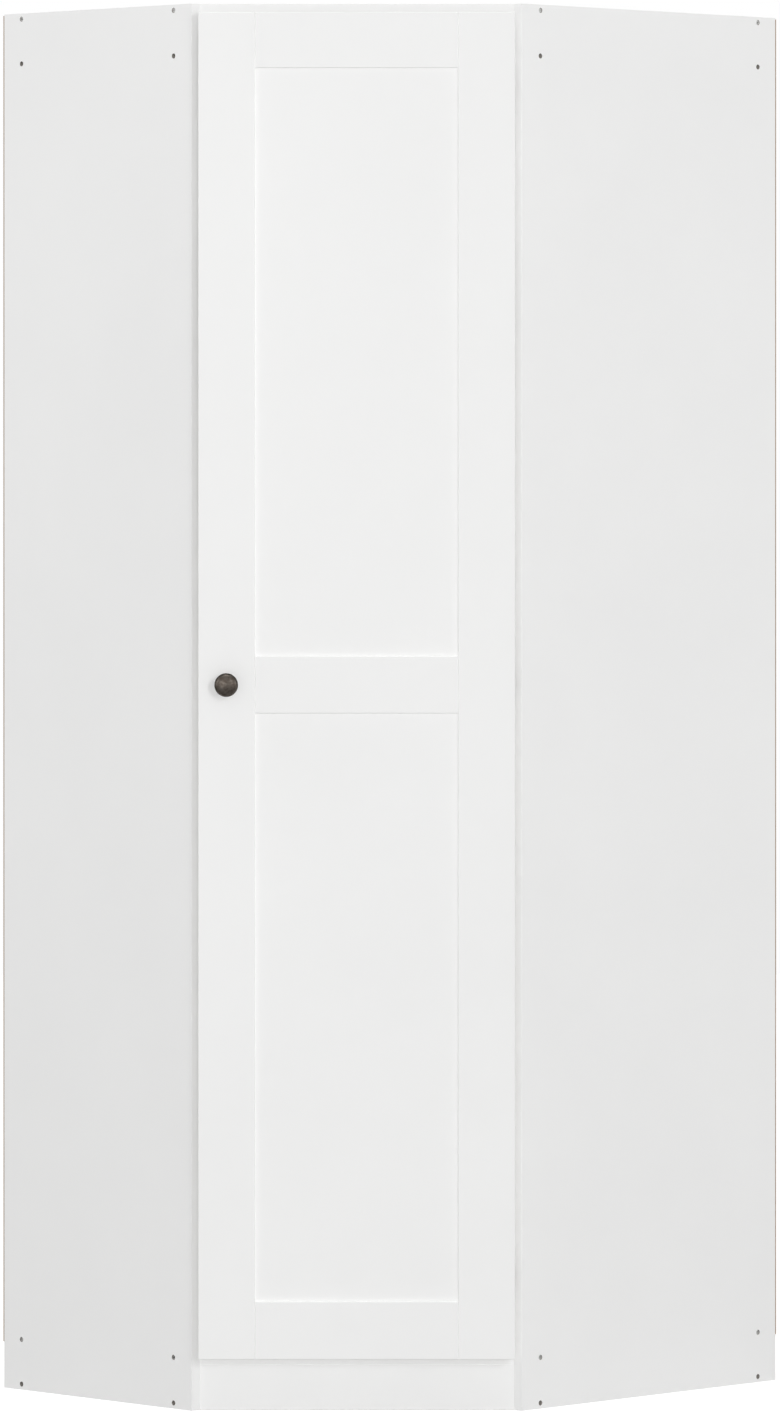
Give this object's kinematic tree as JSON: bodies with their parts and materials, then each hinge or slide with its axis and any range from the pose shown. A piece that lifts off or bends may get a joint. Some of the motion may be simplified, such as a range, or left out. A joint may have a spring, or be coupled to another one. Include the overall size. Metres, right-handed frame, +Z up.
{
  "type": "corner wardrobe",
  "caption": "Tall white corner wardrobe with a diagonal framed door on concealed hinges, a hat shelf and a clothes rail.",
  "frame": {"origin": "bottom centre of the whole wardrobe's box, on the floor, with the door shut", "axes": "+Z up, +Y towards the wall behind the left part, +X towards the wall behind the right part; the diagonal front faces -X -Y"},
  "size_m": [0.8616, 0.7306, 1.97],
  "materials": {
    "white_board": "white faced chipboard with a fine satin texture",
    "white_door": "smooth satin white",
    "hardboard": "plain brown hardboard, pressed smooth",
    "softwood": "planed softwood",
    "dark_bronze": "mottled antique bronze, worn lighter on its edges",
    "zinc_screw": "zinc-plated steel",
    "nickel": "nickel-plated pressed steel",
    "chrome_tube": "polished",
    "white_plastic": "moulded plastic"
  },
  "bodies": {
    "carcass": {"left_side_panel": "white_board", "right_side_panel": "white_board", "top_panel": "white_board", "bottom_panel": "white_board", "plinth_board": "white_board", "hat_shelf": "white_board", "left_back": "hardboard", "right_back": "hardboard", "corner_post": "softwood", "rear_foot": "softwood", "plinth_block_left": "softwood", "plinth_block_right": "softwood", "screw_left_bottom_front": "zinc_screw", "screw_left_bottom_rear": "zinc_screw", "screw_left_top_front": "zinc_screw", "screw_left_top_rear": "zinc_screw", "screw_right_bottom_front": "zinc_screw", "screw_right_bottom_rear": "zinc_screw", "screw_right_top_front": "zinc_screw", "screw_right_top_rear": "zinc_screw", "hinge_arm_screw_bottom": "zinc_screw", "hinge_arm_screw_middle": "zinc_screw", "hinge_arm_screw_top": "zinc_screw", "hinge_plate_bottom": "nickel", "hinge_plate_middle": "nickel", "hinge_plate_top": "nickel", "hinge_arm_bottom": "nickel", "hinge_arm_middle": "nickel", "hinge_arm_top": "nickel", "shelf_pin_left_front": "nickel", "shelf_pin_left_rear": "nickel", "shelf_pin_right_front": "nickel", "shelf_pin_right_rear": "nickel", "shelf_pin_post": "nickel", "clothes_rail": "chrome_tube", "rail_bracket_left": "white_plastic", "rail_bracket_right": "white_plastic", "rail_cap_left": "white_plastic", "rail_cap_right": "white_plastic"},
    "door": {"door_leaf": "white_door", "door_stile_knob_side": "white_door", "door_stile_hinge_side": "white_door", "door_rail_top": "white_door", "door_rail_middle": "white_door", "door_rail_bottom": "white_door", "hinge_cup_screw_bottom_lower": "zinc_screw", "hinge_cup_screw_bottom_upper": "zinc_screw", "hinge_cup_screw_middle_lower": "zinc_screw", "hinge_cup_screw_middle_upper": "zinc_screw", "hinge_cup_screw_top_lower": "zinc_screw", "hinge_cup_screw_top_upper": "zinc_screw", "knob": "dark_bronze", "knob_screw": "zinc_screw", "hinge_cup_bottom": "nickel", "hinge_cup_middle": "nickel", "hinge_cup_top": "nickel", "hinge_pin_bottom": "zinc_screw", "hinge_pin_middle": "zinc_screw", "hinge_pin_top": "zinc_screw"}
  },
  "joints": [
    {"name": "door_hinge", "type": "hinge", "parent": "carcass", "child": "door", "pos_m": [-0.11923, -0.34396, 1.01575], "axis": [0, 0, 1], "range_deg": [0, 95]}
  ]
}
